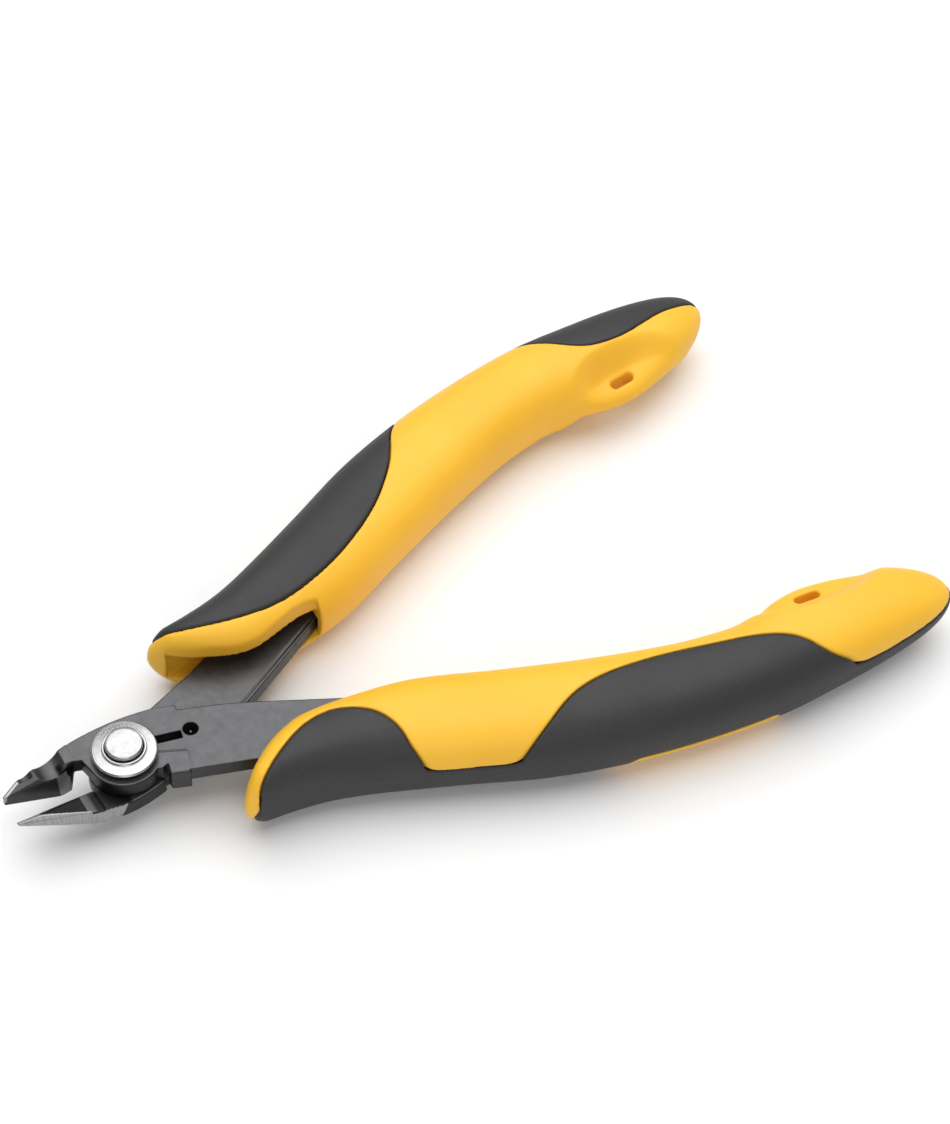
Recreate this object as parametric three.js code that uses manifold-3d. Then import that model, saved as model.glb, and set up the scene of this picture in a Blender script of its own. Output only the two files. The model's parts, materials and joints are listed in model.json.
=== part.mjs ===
// Diagonal cutting pliers with an angled head. Two pressed steel levers cross at one rivet. The front lever
// carries the upper jaw and the near handle, the rear lever carries the lower jaw and the far handle. Each
// handle is a moulded core with a softer grip round its outer side.
//
// Millimetres, +Z up. Everything is drawn about the pivot axis, with z = 0 between the two levers, +X towards
// the handles and +Y towards the far handle. The last group then moves the tool so that its origin is under
// the middle of its box. The near handle is the far handle turned half a turn about the X axis.

import * as THREE from 'three';
import { mergeVertices } from 'three/addons/utils/BufferGeometryUtils.js';
import { ConvexGeometry } from 'three/addons/geometries/ConvexGeometry.js';
import Module from 'manifold-3d';

const wasm = await Module();
wasm.setup();

// Levers
const PLATE = 2.8;
const GAP = 0.3;
const INNER = GAP / 2;
const OUTER = INNER + PLATE;
const RIVET_HOLE = 2.5;
const RUNNING_HOLE = 2.27;

// Jaws: the flush face rises from the levers' back face towards the tips
const FLUSH_ANGLE = 20 * Math.PI / 180;
const FLUSH_START = -7;
const OPEN_HALF_ANGLE = 5.3 * Math.PI / 180;
const TIP = -18.1;

// Rivet, washers and spring
const RIVET_RADIUS = 2.2;
const HEAD_RADIUS = 2.75;
const HEAD_HEIGHT = 1.25;
const WASHER_RADIUS = 4.7;
const WASHER_THICKNESS = 1.2;
const ROUND_STEPS = 32;
const COIL_RADIUS = 3.2;
const WIRE = 0.4;
const LEG_WIRE = 0.35;
const LEG_Z = 0.35;
const RECESS_RADIUS = 4;
const RECESS_DEPTH = 0.75;
const GROOVE_DEPTH = 1.15;
const LEG_HOLE = [10.2, -0.75];
const LEG_HOLE_RADIUS = 1.1;
const SLOT = { from: 4.3, to: 8.9, width: 1.3, turn: -14 * Math.PI / 180, rise: 1.2 };

// Handles
const HALF_THICKNESS = 7.2;
const HANDLE_START = 11.3;
const HANDLE_END = 125;
const PLAN_NOSE = 3.6;
const SIDE_NOSE = 8;
const TAIL_LENGTH = 30;
const SQUARENESS = 2.4;
const STATIONS = 25;
const AROUND = 16;
const GRIP_START = 13.1;
const GRIP_DEPTH = 1.6;
const FIN_HALF_THICKNESS = 2.6;
const FIN_START = 88;
const FIN_FULL = 97;
const FIN_RIDGE = 30;
const FIN_SLOPE = 5;
const CAVITY_HALF = 3.4;
const STRIP_HALF = 1.4;
const LANYARD_SLOT = { x: 104, y: 25.4, length: 4.4, width: 1.5, turn: 6 * Math.PI / 180 };

// The handle's outer and inner edges, before its two ends are rounded off
const outerEdge = curveThrough([
  [10, 16.6], [14, 16.8], [18, 17.2], [24, 18.6], [30, 20.85], [42, 26.2], [54, 31.6], [66, 35.4], [78, 37.9],
  [90, 39.4], [102, 39.8], [114, 40.9], [125, 42.9],
]);
const innerEdge = curveThrough([
  [10, 14.6], [14, 11.6], [18, 8.9], [21.5, 7.3], [25, 6.5], [32, 6.9], [42, 8.7], [54, 13.5], [66, 18.2],
  [78, 22.3], [84, 23.8], [90, 24.7], [95, 24.1], [99, 23], [104, 22.5], [112, 23.2], [125, 25],
]);

// ---- small tools ----

// A smooth curve y(x) through points in rising x.
function curveThrough(points) {
  const slope = (i) => {
    const a = points[Math.max(i - 1, 0)];
    const b = points[Math.min(i + 1, points.length - 1)];
    return (b[1] - a[1]) / (b[0] - a[0]);
  };
  return (x) => {
    let i = 0;
    while (i < points.length - 2 && x > points[i + 1][0]) i += 1;
    const [x0, y0] = points[i];
    const [x1, y1] = points[i + 1];
    const span = x1 - x0;
    const t = THREE.MathUtils.clamp((x - x0) / span, 0, 1);
    const s = 1 - t;
    const ends = y0 * s * s * (1 + 2 * t) + y1 * t * t * (3 - 2 * t);
    return ends + span * t * s * (slope(i) * s - slope(i + 1) * t);
  };
}

function smoothStep(t) {
  return THREE.MathUtils.smoothstep(t, 0, 1);
}

function solid(geometry) {
  const bare = geometry.index ? geometry.clone() : geometry;
  bare.deleteAttribute('normal');
  bare.deleteAttribute('uv');
  const merged = mergeVertices(bare, 1e-4);
  return new wasm.Manifold(new wasm.Mesh({
    numProp: 3,
    vertProperties: new Float32Array(merged.attributes.position.array),
    triVerts: new Uint32Array(merged.index.array),
  }));
}

function geometryOf(manifold) {
  const { numProp, vertProperties, triVerts } = manifold.getMesh();
  const geometry = new THREE.BufferGeometry();
  const position = new Float32Array(vertProperties.length / numProp * 3);
  for (let i = 0; i < position.length / 3; i += 1) {
    position.set(vertProperties.subarray(i * numProp, i * numProp + 3), i * 3);
  }
  geometry.setAttribute('position', new THREE.BufferAttribute(position, 3));
  geometry.setIndex(new THREE.BufferAttribute(new Uint32Array(triVerts), 1));
  geometry.computeVertexNormals();
  return geometry;
}

function vectors(points) {
  return points.map(([x, y]) => new THREE.Vector2(x, y));
}

function prism(points, low, high) {
  const shape = new THREE.Shape(vectors(points));
  const geometry = new THREE.ExtrudeGeometry(shape, { depth: high - low, bevelEnabled: false });
  return solid(geometry.translate(0, 0, low));
}

function cylinder(radius, low, high, x = 0, y = 0, steps = ROUND_STEPS) {
  const geometry = new THREE.CylinderGeometry(radius, radius, high - low, steps);
  return solid(geometry.rotateX(Math.PI / 2).translate(x, y, (low + high) / 2));
}

function hull(points) {
  return solid(new ConvexGeometry(points.map((p) => new THREE.Vector3(...p))));
}

// Points from a spline through the given ones.
function spline(points, steps) {
  return new THREE.SplineCurve(vectors(points)).getPoints(steps).map((p) => [p.x, p.y]);
}

function arc(radius, from, to, steps) {
  return Array.from({ length: steps + 1 }, (_, i) => {
    const angle = THREE.MathUtils.degToRad(from + (to - from) * i / steps);
    return [radius * Math.cos(angle), radius * Math.sin(angle)];
  });
}

function mirrored(points) {
  return points.map(([x, y]) => [x, -y]).reverse();
}

// A half turn about the X axis, which takes the far handle to the near one.
function turnedOver(geometry) {
  return geometry.rotateX(Math.PI);
}

// ---- levers ----

function flushZ(x) {
  return -OUTER + (FLUSH_START - x) * Math.tan(FLUSH_ANGLE);
}

// The far lever's tang, from the inner edge by the pivot round its hidden end to the outer edge.
const TANG_INNER = [
  [10.1, -4.1], [10.1, -3.2], [16.6, -0.7], [21.1, 1.4], [36.5, 9.2], [48, 15.6], [60, 22.5],
];
const TANG_END = [[62, 24.5], [62, 28], [60, 29]];
const TANG_OUTER = [[48, 23.4], [36.5, 18.6], [26, 14.4], [15.2, 9.8], [7.1, 7]];

function slotOutline() {
  const half = SLOT.width / 2;
  const along = [Math.cos(SLOT.turn), Math.sin(SLOT.turn)];
  const corner = (distance, side) => [
    distance * along[0] - side * half * along[1],
    SLOT.rise + distance * along[1] + side * half * along[0],
  ];
  return [corner(SLOT.from, -1), corner(SLOT.to, -1), corner(SLOT.to, 1), corner(SLOT.from, 1)];
}

// The recess for the coil, the groove for the leg, and the slot and hole that show from outside.
function springSeat() {
  const groove = prism([[2, -0.65], [10.2, -1.4], [10.2, -0.1], [2, 0.65]], 0, GROOVE_DEPTH);
  return cylinder(RECESS_RADIUS, 0, RECESS_DEPTH)
    .add(groove)
    .add(prism(slotOutline(), 0, OUTER + 1))
    .add(cylinder(LEG_HOLE_RADIUS, 0, OUTER + 1, ...LEG_HOLE, 20));
}

function upperJaw() {
  const edge = (x) => -x * Math.tan(OPEN_HALF_ANGLE);
  return hull([
    [TIP, edge(TIP), flushZ(TIP)], [-11.3, edge(-11.3), flushZ(-11.3)], [-8, 1.5, flushZ(-8)],
    [TIP, 2.3, flushZ(TIP)], [-15.5, 3.6, flushZ(-15.5)], [-8.6, 4.9, flushZ(-8.6)],
    [TIP, 1.9, 2.5], [TIP, 2.3, 2.5], [-15.4, 2.1, 2.7], [-15.5, 3.6, 2.7], [-9.7, 1.8, 2.2],
    [-6.8, 5.5, OUTER], [-6.8, 2.7, OUTER], [-6.8, 5.5, INNER], [-6.8, 2.7, INNER],
  ]);
}

function lowerJaw() {
  const edge = (x) => x * Math.tan(OPEN_HALF_ANGLE);
  return hull([
    [TIP, edge(TIP), flushZ(TIP)], [-8.5, edge(-8.5), flushZ(-8.5)],
    [TIP + 0.3, -2.4, flushZ(TIP + 0.3)], [-12.4, -3.9, flushZ(-12.4)], [-8, -4.95, flushZ(-8)],
    [TIP + 0.2, -2.2, 1.4], [-14.7, -2.5, 1.5], [-7.8, -4.84, -INNER], [-7.4, -1.8, -INNER],
    [-7, -1.6, -OUTER],
    [-6, -5.4, -INNER], [-6, -5.4, -OUTER], [-6.2, -1.5, -INNER], [-6.2, -1.5, -OUTER],
  ]);
}

function stopTab() {
  return prism([[4.2, -5.5], [6.95, -5.7], [6.95, -7.4], [4.2, -6.35]], -1.35, OUTER);
}

function frontLever() {
  const outline = [
    [-8, 5.2], [-8.3, 2.95], [-5.9, 2.1], ...arc(5.4, 185, 303, 14), [3.6, -4.8], [4.6, -4.5], [4.2, -6.3],
    ...mirrored(TANG_OUTER), ...mirrored(TANG_END), ...mirrored(TANG_INNER), [6.9, 5.2], [3.7, 5.7],
    [0.7, 5.95], [-2.5, 5.95],
    [-5.8, 5.7],
  ];
  return prism(outline, INNER, OUTER)
    .add(upperJaw())
    .add(stopTab())
    .subtract(cylinder(RIVET_HOLE, -1, OUTER + 1))
    .subtract(springSeat());
}

function rearLever() {
  const outline = [
    [-7.4, -1.8], [-8, -4.9], [-4.1, -5.75], [-2.4, -5.95], [0, -5.85], [2.7, -5.4], [3.85, -5.15],
    [3.85, -4.45], [7, -4.2], ...TANG_INNER, ...TANG_END, ...TANG_OUTER, [3.7, 5.3],
    ...arc(5.5, 90, 190, 12), [-5.9, -1.6],
  ];
  const seat = geometryOf(springSeat());
  return prism(outline, -OUTER, -INNER)
    .add(lowerJaw())
    .subtract(cylinder(RUNNING_HOLE, -OUTER - 1, 1))
    .subtract(solid(turnedOver(seat)));
}

// ---- rivet, washers and spring ----

function rivet() {
  const headLow = OUTER + GAP + WASHER_THICKNESS + GAP;
  const headHigh = headLow + HEAD_HEIGHT;
  const edge = 0.25;
  const profile = vectors([
    [0, -headHigh], [HEAD_RADIUS - edge, -headHigh], [HEAD_RADIUS, -headHigh + edge],
    [HEAD_RADIUS, -headLow], [RIVET_RADIUS, -headLow], [RIVET_RADIUS, headLow], [HEAD_RADIUS, headLow],
    [HEAD_RADIUS, headHigh - edge], [HEAD_RADIUS - edge, headHigh], [0, headHigh],
  ]);
  return new THREE.LatheGeometry(profile, ROUND_STEPS).rotateX(Math.PI / 2);
}

function washer() {
  const low = OUTER + GAP;
  const high = low + WASHER_THICKNESS;
  return cylinder(WASHER_RADIUS, low, high).subtract(cylinder(RIVET_HOLE, low - 1, high + 1));
}

function spring() {
  const coil = solid(new THREE.TorusGeometry(COIL_RADIUS, WIRE, 8, 28));
  const [x, y] = LEG_HOLE;
  const run = Math.hypot(x, y) - COIL_RADIUS;
  const leg = solid(new THREE.CylinderGeometry(LEG_WIRE, LEG_WIRE, run, 8)
    .rotateZ(Math.PI / 2)
    .translate(COIL_RADIUS + run / 2, 0, LEG_Z)
    .rotateZ(Math.atan2(y, x)));
  const end = cylinder(LEG_WIRE, 0.1, OUTER - 1, x, y, 8);
  const half = leg.add(end);
  return coil.add(half).add(solid(turnedOver(geometryOf(half))));
}

// ---- handles ----

function noseAndTail(x, noseLength, power) {
  const nose = THREE.MathUtils.clamp((HANDLE_START + noseLength - x) / noseLength, 0, 1);
  const tail = THREE.MathUtils.clamp((x - HANDLE_END + TAIL_LENGTH) / TAIL_LENGTH, 0, 1);
  return Math.sqrt(Math.max(0, 1 - nose ** 2)) * Math.sqrt(Math.max(0, 1 - tail ** power));
}

// One point of the handle's skin, inset from the outside by the given depth.
function skinPoint(x, angle, inset) {
  const along = HANDLE_START + inset + (x - HANDLE_START) * (1 - 2 * inset / (HANDLE_END - HANDLE_START));
  const middle = (outerEdge(along) + innerEdge(along)) / 2;
  const width = Math.max((outerEdge(along) - middle) * noseAndTail(x, PLAN_NOSE, 2.2) - inset, 0.02);
  const thickness = Math.max(HALF_THICKNESS * noseAndTail(x, SIDE_NOSE, 2.6) - inset, 0.02);
  const round = (v) => Math.sign(v) * Math.abs(v) ** (2 / SQUARENESS);
  const y = middle + width * round(Math.cos(angle));
  const finStart = smoothStep((along - FIN_START) / (FIN_FULL - FIN_START));
  const fin = finStart * smoothStep((FIN_RIDGE - y) / FIN_SLOPE);
  const full = THREE.MathUtils.lerp(thickness, Math.min(thickness, FIN_HALF_THICKNESS - inset / 2), fin);
  return [along, y, full * round(Math.sin(angle))];
}

function handleBody(inset) {
  const position = [];
  const index = [];
  for (let i = 0; i <= STATIONS; i += 1) {
    const t = i / STATIONS;
    const eased = t - 0.11 * Math.sin(2 * Math.PI * t) - 0.02 * Math.sin(4 * Math.PI * t);
    const x = THREE.MathUtils.lerp(HANDLE_START + 0.05, HANDLE_END - 0.1, eased);
    for (let j = 0; j < AROUND; j += 1) {
      position.push(...skinPoint(x, 2 * Math.PI * (j + 0.5) / AROUND, inset));
    }
  }
  for (let i = 0; i < STATIONS; i += 1) {
    for (let j = 0; j < AROUND; j += 1) {
      const a = i * AROUND + j;
      const b = i * AROUND + (j + 1) % AROUND;
      index.push(a, b, b + AROUND, a, b + AROUND, a + AROUND);
    }
  }
  for (let j = 1; j < AROUND - 1; j += 1) {
    const last = STATIONS * AROUND;
    index.push(0, j + 1, j, last, last + j, last + j + 1);
  }
  const geometry = new THREE.BufferGeometry();
  geometry.setAttribute('position', new THREE.Float32BufferAttribute(position, 3));
  geometry.setIndex(index);
  return solid(geometry);
}

// Where the grip covers the handle, seen from above. Each lobe's inner edge is listed; the rest is beyond the
// handle's outer edge.
const FRONT_LOBES = [
  [[10, 17.8], [12, 15.7], [14.1, 14.3], [17.3, 12.8], [21.4, 11.5], [26, 10.7], [31, 10.6], [36.4, 11.6],
    [42.7, 13.7], [48.6, 16.7], [52.9, 19.5], [56.1, 22.3], [58.9, 25.5], [60.5, 28.3], [62.3, 31.8],
    [65, 35.4], [69, 39.5]],
  [[84, 42], [88, 39.4], [91.4, 37.6], [94.8, 35], [97.7, 32.6], [100.4, 31.2], [103.5, 30.7], [107.1, 30.8],
    [111.3, 31.7], [115.7, 32.8], [120, 33.4], [127, 34.1]],
];
const BACK_LOBES = [
  [[10, 19], [13, 15.9], [15.9, 13.7], [18.5, 12], [21.6, 10.4], [24.7, 9.4], [27.6, 9.4], [30.1, 10.6],
    [32.5, 12.4], [34, 14.3], [34.9, 16.5], [35.3, 18.6], [35.5, 20.7], [36.6, 23.2], [39.2, 26],
    [42, 28]],
  [[43, 26.9], [47.1, 28.6], [49.7, 28.9], [52, 28.4], [54.8, 27.4], [57.6, 26.2], [60.5, 25.2],
    [63.5, 24.7], [67, 24.6], [72.1, 25.1], [77.8, 26.2], [83, 27.7], [88.2, 29.3], [91.7, 30.8],
    [94.3, 32.4], [96.2, 34.3], [97.8, 36.3], [99.6, 37.8], [102.4, 39], [107, 40.6]],
];
const BEYOND = 60;

function lobe(points, growth, low, high) {
  const edge = spline(points, points.length * 2).map(([x, y]) => [x, y - growth]);
  edge[0][0] -= growth;
  edge[edge.length - 1][0] += growth;
  return prism([...edge, [edge[edge.length - 1][0], BEYOND], [edge[0][0], BEYOND]], low, high);
}

function gripRegion(growth) {
  const strip = STRIP_HALF + growth;
  const beyond = HALF_THICKNESS + 3;
  const along = Array.from({ length: 14 }, (_, i) => 8 + i * 9.2);
  const middle = along.map((x) => [x, (outerEdge(x) + innerEdge(x)) / 2]);
  let region = prism([...middle, [130, BEYOND], [8, BEYOND]], -strip, strip);
  FRONT_LOBES.forEach((points) => { region = region.add(lobe(points, growth, -strip, beyond)); });
  BACK_LOBES.forEach((points) => { region = region.add(lobe(points, growth, -beyond, strip)); });
  const start = GRIP_START - growth;
  const nose = [[0, 0], [start, 0], [start, BEYOND + 1], [0, BEYOND + 1]];
  return region.subtract(prism(nose, -beyond - 1, beyond + 1));
}

function lanyardSlot() {
  const { x, y, length, width, turn } = LANYARD_SLOT;
  const flat = (length - width) / 2;
  const half = new THREE.Shape()
    .absarc(flat, 0, width / 2, -Math.PI / 2, Math.PI / 2)
    .absarc(-flat, 0, width / 2, Math.PI / 2, 3 * Math.PI / 2);
  const geometry = new THREE.ExtrudeGeometry(half, { depth: 20, bevelEnabled: false, curveSegments: 8 });
  return solid(geometry.translate(0, 0, -10).rotateZ(turn).translate(x, y, 0));
}

// The open mouth on the inner side, the flat rim cut round it, and behind it the blind pocket that grips
// the tang.
function mouth() {
  const open = [[13.3, 0], [36.9, 0], [36.9, 20], [28, 16.6], [20, 14.4], [13.3, 13.4]];
  const rim = [
    [13.3, 0], [36.9, 0], [36.9, 9.2], [33.8, 8.8], [29.3, 7.9], [25.6, 7.6], [22.3, 8], [17.4, 9.9],
    [13.3, 12.8],
  ];
  const pocket = [
    [36, 8.6], [48, 15.2], [60, 22.1], [62.4, 24.3], [62.4, 28.3], [60.1, 29.4], [48, 23.8], [36, 18.8],
  ];
  return prism(open, -CAVITY_HALF, CAVITY_HALF)
    .add(prism(rim, -HALF_THICKNESS, HALF_THICKNESS))
    .add(prism(pocket, -OUTER - GAP, -INNER + GAP));
}

function handleCore() {
  const skin = handleBody(-1).subtract(handleBody(GRIP_DEPTH + GAP));
  return handleBody(0).subtract(skin.intersect(gripRegion(GAP))).subtract(mouth()).subtract(lanyardSlot());
}

function handleGrip() {
  return handleBody(0).subtract(handleBody(GRIP_DEPTH)).intersect(gripRegion(0)).subtract(mouth());
}

// ---- assembly ----

const blackSteel = new THREE.MeshStandardMaterial({ color: 0x55555a, roughness: 0.45, metalness: 0.8 });
const brightSteel = new THREE.MeshStandardMaterial({ color: 0xd8d6d2, roughness: 0.25, metalness: 1 });
const wireSteel = new THREE.MeshStandardMaterial({ color: 0x9a9894, roughness: 0.35, metalness: 1 });
const yellow = new THREE.MeshStandardMaterial({ color: 0xfec742, roughness: 0.5, metalness: 0 });
const darkGrey = new THREE.MeshStandardMaterial({ color: 0x3c3a3d, roughness: 0.75, metalness: 0 });

const tool = new THREE.Group();

function piece(name, geometry, material) {
  const mesh = new THREE.Mesh(geometry, material);
  mesh.name = name;
  tool.add(mesh);
}

piece('front_lever', geometryOf(frontLever()), blackSteel);
piece('rear_lever', geometryOf(rearLever()), blackSteel);
piece('pivot_rivet', rivet(), brightSteel);
piece('front_washer', geometryOf(washer()), brightSteel);
piece('rear_washer', turnedOver(geometryOf(washer())), brightSteel);
piece('return_spring', geometryOf(spring()), wireSteel);
piece('far_handle_core', geometryOf(handleCore()), yellow);
piece('far_handle_grip', geometryOf(handleGrip()), darkGrey);
piece('near_handle_core', turnedOver(geometryOf(handleCore())), yellow);
piece('near_handle_grip', turnedOver(geometryOf(handleGrip())), darkGrey);

const box = new THREE.Box3().setFromObject(tool);
const middle = box.getCenter(new THREE.Vector3());
tool.position.set(-middle.x, -middle.y, -box.min.z);

export default new THREE.Group().add(tool);
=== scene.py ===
"""Diagonal cutting pliers with an angled head: the visual model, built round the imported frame.

Shapes are drawn in millimetres about the pivot axis, with z = 0 between the two levers, +X towards the handles
and +Y towards the far handle. A moulded or ground piece is a distance field, negative inside, whose zero level
becomes a fine mesh. Round pieces are turned profiles. The near half is the far half turned half a turn about X.
"""
import json
import math
import bmesh
import bpy
import numpy as np
from mathutils import Matrix, Vector


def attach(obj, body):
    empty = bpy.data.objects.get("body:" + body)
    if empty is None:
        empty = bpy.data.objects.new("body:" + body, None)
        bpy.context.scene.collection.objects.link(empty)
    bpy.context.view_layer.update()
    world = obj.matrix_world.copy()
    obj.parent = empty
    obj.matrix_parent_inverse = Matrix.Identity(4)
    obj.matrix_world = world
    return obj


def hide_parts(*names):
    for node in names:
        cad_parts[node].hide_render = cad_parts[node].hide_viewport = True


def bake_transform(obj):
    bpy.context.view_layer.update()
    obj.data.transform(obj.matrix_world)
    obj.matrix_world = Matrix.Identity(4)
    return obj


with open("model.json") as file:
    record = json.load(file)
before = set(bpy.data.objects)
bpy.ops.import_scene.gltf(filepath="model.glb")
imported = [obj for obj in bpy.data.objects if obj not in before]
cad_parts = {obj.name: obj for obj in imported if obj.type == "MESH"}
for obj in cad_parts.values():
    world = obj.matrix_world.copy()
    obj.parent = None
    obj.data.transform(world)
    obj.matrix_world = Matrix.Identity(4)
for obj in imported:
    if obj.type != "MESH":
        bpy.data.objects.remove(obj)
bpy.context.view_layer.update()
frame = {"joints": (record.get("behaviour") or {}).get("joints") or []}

MM = 0.001
PIVOT = np.array(frame["joints"][0]["pos_m"])
FRONT = "front_half"
REAR = "rear_half"

# Levers
PLATE = 2.8
INNER = 0.15
OUTER = INNER + PLATE
EDGE_ROUND = 0.22
INNER_ROUND = 0.12
COIN_STEP = 0.05
TAB_LOW = -1.35
TAB_CREASE = [(4.24, -1.96), (8.25, -3.85), (7.5, -6.86)]
TAB_CREASE_RADIUS = 0.12
TANG_CREASE_INSET = 0.62
TANG_CREASE_RADIUS = 0.17
LEVER_STEP = 0.13

# Jaws
FLUSH_SLOPE = math.tan(math.radians(20))
FLUSH_START = -7
FLUSH_SKIN = 0.1
OPEN_SLOPE = math.tan(math.radians(5.3))
TIP = -18.1
GROUND_EDGE = 0.07
JAW_ROUND = 0.3
# Hollows ground across the upper jaw: x and z of the axis, and the radius
SCOOP = (-10.4, 5, 3)
SCOOP_END = -12.6
NOTCH = (-14.1, 3.9, 1.5)
NOTCH_END = -12.8
NOTCH_SIDE = 3

# Rivet, washers and spring
RIVET_HOLE = 2.5
RUNNING_HOLE = 2.27
RIVET_RADIUS = 2.2
HEAD_RADIUS = 2.75
HEAD_LOW = 4.5
HEAD_HIGH = 6
HEAD_ROUND = 0.3
HEAD_SHOULDER = 0.45
HEAD_CROWN = 0.02
WASHER_RADIUS = 4.8
WASHER_LOW = 3.02
WASHER_EDGE = 4.3
WASHER_TOP = 5.05
CONE_RISE = 0.3
CONE_RUN = 1.2
TOOL_RIPPLE = 0.006
TOOL_PITCH = 65
TURNED_STEPS = 128
RECESS_RADIUS = 4
RECESS_DEPTH = 0.75
COIL_RADIUS = 3.2
WIRE = 0.36
WIRE_SIDES = 20
LEG_Z = 0.35
LEG_HOLE = (10.2, -0.75)
LEG_HOLE_RADIUS = 1.1
GROOVE_TOP = 1.15
SLOT_TURN = -14
SLOT_HALF = 0.65
SLOT_ENDS = (4.3, 8.9)

# Handles
HANDLE_START = 11.3
HANDLE_END = 125
NOSE = 3.6
TAIL = 30
SQUARENESS = 2.35
FIN_HALF_THICKNESS = 2.7
FRONT_DISH_START, FRONT_DISH_END, FRONT_DISH_FADE = 91.5, 121.5, 18
BACK_DISH_START, BACK_DISH_END, BACK_DISH_FADE = 90, 126, 11
DISH_RUN = 8
DISH_SLOPE = 4
LANYARD_PLACE = (103.7, 25.5)
LANYARD_TILT = 6
LANYARD_HALF = 1.45
LANYARD_RADIUS = 0.75
MOUTH_START, MOUTH_END = 13.3, 36.9
CAVITY_LOW = -3.4
CAVITY_HIGH = 2.3
POCKET_GAP = 0.3
LIP_ROUND = 0.25
STRIP_HALF = 1.4
GRIP_START = 13.1
GRIP_SLANT = 0.3
LOBE_ROUND = 0.8
GRIP_DEPTH = 1.6
JOIN_GAP = 0.1
JOIN_ROUND = 0.2
HANDLE_STEP = 0.3
BEYOND = 60


# ---- curves and fields ----

def curve_through(points):
    """A smooth y(x) through points in rising x."""
    xs, ys = np.array(points, float).T
    after = np.minimum(np.arange(len(xs)) + 1, len(xs) - 1)
    before = np.maximum(np.arange(len(xs)) - 1, 0)
    slopes = (ys[after] - ys[before]) / (xs[after] - xs[before])

    def at(x):
        i = np.clip(np.searchsorted(xs, x) - 1, 0, len(xs) - 2)
        span = xs[i + 1] - xs[i]
        t = np.clip((x - xs[i]) / span, 0, 1)
        s = 1 - t
        ends = ys[i] * s * s * (1 + 2 * t) + ys[i + 1] * t * t * (3 - 2 * t)
        return ends + span * t * s * (slopes[i] * s - slopes[i + 1] * t)

    return at


def smooth_step(t):
    t = np.clip(t, 0, 1)
    return t * t * (3 - 2 * t)


def meet(a, b, radius):
    """The overlap of two fields, with its edge rounded."""
    blend = np.maximum(radius - np.abs(a - b), 0)
    return np.maximum(a, b) + blend * blend / (4 * radius)


def join(a, b, radius):
    return -meet(-a, -b, radius)


def cut(a, b, radius):
    """a with b taken away."""
    return meet(a, -b, radius)


def spline(points, steps):
    """Points of a smooth line through the given ones."""
    p = np.array(points, float)
    p = np.vstack([2 * p[0] - p[1], p, 2 * p[-1] - p[-2]])
    line = []
    for a, b, c, d in zip(p, p[1:], p[2:], p[3:]):
        for t in np.arange(steps) / steps:
            line.append(b + 0.5 * t * (c - a + t * (2 * a - 5 * b + 4 * c - d + t * (3 * (b - c) + d - a))))
    return np.vstack([line, p[-2]])


def arc(radius, start, end, steps):
    angles = np.radians(np.linspace(start, end, steps + 1))
    return np.column_stack([radius * np.cos(angles), radius * np.sin(angles)])


def outline(points):
    """The signed distance to a closed outline in plan."""
    p = np.array(points, float)
    edges = list(zip(p, np.roll(p, -1, axis=0)))

    def at(x, y):
        nearest = np.full(np.broadcast(x, y).shape, np.inf)
        inside = np.zeros(nearest.shape, bool)
        for (ax, ay), (bx, by) in edges:
            ex, ey = bx - ax, by - ay
            t = np.clip(((x - ax) * ex + (y - ay) * ey) / (ex * ex + ey * ey + 1e-12), 0, 1)
            nearest = np.minimum(nearest, (x - ax - t * ex) ** 2 + (y - ay - t * ey) ** 2)
            if ay != by:
                inside ^= ((ay > y) != (by > y)) & (x < ax + (y - ay) * ex / ey)
        return np.where(inside, -1, 1) * np.sqrt(nearest)

    return at


def hull(points, radius):
    """The field of the flat-sided solid round some points, its edges broken by the radius."""
    mesh = bmesh.new()
    for point in points:
        mesh.verts.new(point)
    bmesh.ops.convex_hull(mesh, input=mesh.verts)
    mesh.normal_update()
    planes = {tuple(np.round((*f.normal, f.normal.dot(f.verts[0].co)), 3)) for f in mesh.faces}
    mesh.free()

    def at(x, y, z):
        field = None
        for nx, ny, nz, offset in sorted(planes):
            plane = nx * x + ny * y + nz * z - offset
            field = plane if field is None else meet(field, plane, radius)
        return field

    return at


def disc(radius, x0=0, y0=0):
    return lambda x, y: np.hypot(x - x0, y - y0) - radius


def slab(z, low, high):
    return np.abs(z - (low + high) / 2) - (high - low) / 2


# ---- meshes ----

def surface_net(values, low, step):
    """The zero level of a field on a grid, as points and squares."""
    inside = values < 0
    cells = tuple(n - 1 for n in values.shape)
    owners, places, squares = [], [], []
    for axis in range(3):
        first = tuple(slice(None, -1) if a == axis else slice(None) for a in range(3))
        second = tuple(slice(1, None) if a == axis else slice(None) for a in range(3))
        crossing = inside[first] != inside[second]
        index = np.argwhere(crossing)
        before, behind = values[first][crossing], values[second][crossing]
        place = index.astype(float)
        place[:, axis] += before / (before - behind)
        ring = []
        for back_b, back_c in ((0, 0), (1, 0), (1, 1), (0, 1)):
            cell = index.copy()
            cell[:, (axis + 1) % 3] -= back_b
            cell[:, (axis + 2) % 3] -= back_c
            ring.append(np.ravel_multi_index(tuple(cell.T), cells))
            owners.append(ring[-1])
            places.append(place)
        square = np.column_stack(ring)
        leaving = before < 0
        square[~leaving] = square[~leaving][:, ::-1]
        squares.append(square)
    ids, number = np.unique(np.concatenate(owners), return_inverse=True)
    places = np.concatenate(places)
    count = np.bincount(number)
    points = np.column_stack([np.bincount(number, places[:, a]) / count for a in range(3)])
    return np.array(low) + points * step, np.searchsorted(ids, np.concatenate(squares))


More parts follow.
